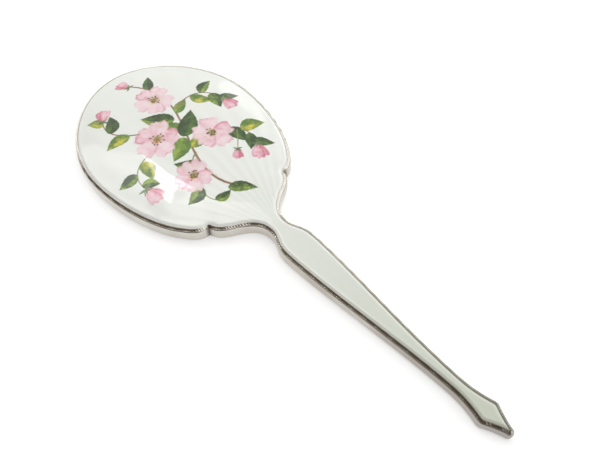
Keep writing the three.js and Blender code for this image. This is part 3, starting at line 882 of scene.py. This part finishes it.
def grained_material(name, pale, dark, stretch, scale, rough, metallic=0.0):
    """A material streaked along one direction: wood, rolled strip, or fibre."""
    m = Nodes(name, metallic=metallic)
    grain = m.ramp(m.noise(scale, 6.0, stretch), 0.0, 1.0, 0.3, 0.7)
    m.feed("Base Color", m.blend(grain, rgb(*pale), rgb(*dark)))
    m.feed("Roughness", m.ramp(grain, rough - 0.08, rough + 0.08))
    m.feed("Normal", m.bump(grain, 0.3, 0.1))
    return m.material


def finish_hidden_nodes():
    """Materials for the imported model's own nodes that are shut inside."""
    wood = grained_material("planed_wood", (196, 158, 110), (150, 110, 68), (1, 12, 12), 60, 0.6)
    fibre = grained_material("packing_card_fibre", (150, 132, 104), (120, 104, 80), (3, 3, 1), 220, 0.85)
    steel = grained_material("rolled_steel", (150, 152, 154), (118, 120, 122), (1, 14, 1), 150, 0.35, 1.0)
    brass = grained_material("brass_wire", (196, 166, 96), (160, 130, 70), (4, 4, 1), 300, 0.3, 1.0)
    filler = grained_material("cast_composition", (214, 206, 188), (190, 180, 160), (1, 1, 1), 90, 0.85)
    plate = silver_material("turned_plate", (214, 212, 206), (190, 186, 176), 0.2, 0.36)
    finishes = {
        "back_plate": plate,
        "mirror_silvering": silvering_material(),
        "packing_card": fibre,
        "head_board": wood,
        "head_filler": filler,
        "handle_core": wood,
        "neck_tang": steel,
        "tang_rivet_1": brass,
        "tang_rivet_2": brass,
        "tang_nail_1": brass,
        "tang_nail_2": brass,
    }
    for name, material in finishes.items():
        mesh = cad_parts[name].data
        mesh.materials.clear()
        mesh.materials.append(material)


# ---- the setting ----
FLOOR_REACH = 900
FLOOR_GAP = 0.05
FLOOR_GLOW = 0.55
WORLD_BRIGHTNESS = 1.12
AZIMUTH = 46
ELEVATION = 56.8
LOOK_AT = (9, 8, 0)
CAMERA_DISTANCE = 297.9
LENS = 36
SENSOR = 36
NEAREST = 10


def floor():
    """A plain pale floor that the mirror lies on."""
    reach = FLOOR_REACH * MM
    corners = [(-reach, -reach, 0), (reach, -reach, 0), (reach, reach, 0), (-reach, reach, 0)]
    mesh = bpy.data.meshes.new("studio_floor")
    mesh.from_pydata(corners, [], [(0, 1, 2, 3)])
    m = Nodes("pale_floor", roughness=0.8, emission_strength=FLOOR_GLOW)
    m.shader.inputs["Emission Color"].default_value = (1, 1, 1, 1)
    m.feed("Base Color", m.blend(m.noise(3.0), rgb(206, 206, 206), rgb(202, 202, 202)))
    mesh.materials.append(m.material)
    plane = bpy.data.objects.new("studio_floor", mesh)
    plane.location.z = -FLOOR_GAP * MM
    bpy.context.scene.collection.objects.link(plane)


def card(name, directions, distance, colour, brightness):
    """A glowing or dark card, its corners given as directions and one distance in metres."""
    corners = [Vector(d).normalized() * distance for d in directions]
    mesh = bpy.data.meshes.new(name)
    mesh.from_pydata(corners, [], [tuple(range(len(corners)))])
    material = bpy.data.materials.new(name)
    material.use_nodes = True
    tree = material.node_tree
    tree.nodes.clear()
    glow = tree.nodes.new("ShaderNodeEmission")
    glow.inputs["Color"].default_value = (*colour, 1)
    glow.inputs["Strength"].default_value = brightness
    output = tree.nodes.new("ShaderNodeOutputMaterial")
    tree.links.new(glow.outputs[0], output.inputs["Surface"])
    mesh.materials.append(material)
    piece = bpy.data.objects.new(name, mesh)
    piece.visible_camera = False
    bpy.context.scene.collection.objects.link(piece)


def studio():
    """Soft light from all round, with a window beyond the head and darker room in front."""
    world = bpy.data.worlds.new("studio")
    bpy.context.scene.world = world
    world.use_nodes = True
    world.node_tree.nodes["Background"].inputs["Color"].default_value = (1, 1, 1, 1)
    world.node_tree.nodes["Background"].inputs["Strength"].default_value = WORLD_BRIGHTNESS
    star = [
        (-0.665, 0.118, 0.74),
        (-0.570, 0.142, 0.81),
        (-0.500, 0.182, 0.848),
        (-0.530, 0.105, 0.841),
        (-0.462, -0.045, 0.886),
        (-0.572, 0.080, 0.817),
    ]
    window = [(-0.66, 0.11, 0.745), (-0.55, 0.11, 0.825), (-0.45, -0.07, 0.89)]
    window += [(-0.55, -0.26, 0.79), (-0.84, -0.12, 0.53)]
    ceiling = [(-0.5, 0.2, 0.85), (-0.1, 0.3, 0.95), (-0.1, -0.12, 0.99), (-0.45, -0.12, 0.9)]
    beyond = [(-0.8, 0.75, 0.42), (-0.1, 1.1, 0.42), (-0.1, 1.05, 0.62), (-0.8, 0.72, 0.62)]
    far_wall = [(-1.4, 0.8, 0.0), (0.9, 1.2, 0.0), (0.9, 1.2, 0.3), (-1.4, 0.8, 0.3)]
    room = [(-1.05, -0.5, 0.0), (-0.62, -0.9, 0.0), (1.2, -0.9, 0.0), (0.75, -0.15, 1.2)]
    room += [(0.25, -0.22, 1.35), (-0.42, -0.5, 1.35), (-0.95, -0.42, 0.6)]
    card("window_glint", star, 1.0, (1, 1, 1), 9)
    card("window_light", window, 1.3, (1, 1, 1), 2.6)
    card("ceiling_light", ceiling, 1.4, (1, 1, 1), 3)
    card("light_beyond", beyond, 1.6, (1, 1, 1), 2.4)
    card("far_wall", far_wall, 2.2, (1.0, 0.92, 0.8), 0.4)
    card("dark_room", room, 1.5, (1.0, 0.8, 0.6), 0.10)
    bpy.context.scene.view_settings.view_transform = "Standard"


def camera():
    """The camera. Its azimuth is counted from -Y towards +X, and its elevation from the floor."""
    azimuth, elevation = math.radians(AZIMUTH), math.radians(ELEVATION)
    level = math.cos(elevation)
    back = Vector((math.sin(azimuth) * level, -math.cos(azimuth) * level, math.sin(elevation)))
    lens = bpy.data.cameras.new("camera")
    lens.lens = LENS
    lens.sensor_width = SENSOR
    lens.clip_start = NEAREST * MM
    view = bpy.data.objects.new("camera", lens)
    view.location = (Vector(LOOK_AT) + back * CAMERA_DISTANCE) * MM
    view.rotation_euler = back.to_track_quat("Z", "Y").to_euler()
    bpy.context.scene.collection.objects.link(view)
    bpy.context.scene.camera = view


paint_spray()
enamel_sheet(enamel_material())
engraved_strip(border_material())
case_tray(silver_material("case_silver", (214, 210, 202), (186, 180, 170), 0.12, 0.24))
bezel_hoop(silver_material("bezel_silver", (206, 200, 190), (178, 168, 152), 0.12, 0.26))
bevelled_glass(glass_material())
finish_hidden_nodes()
floor()
studio()
camera()
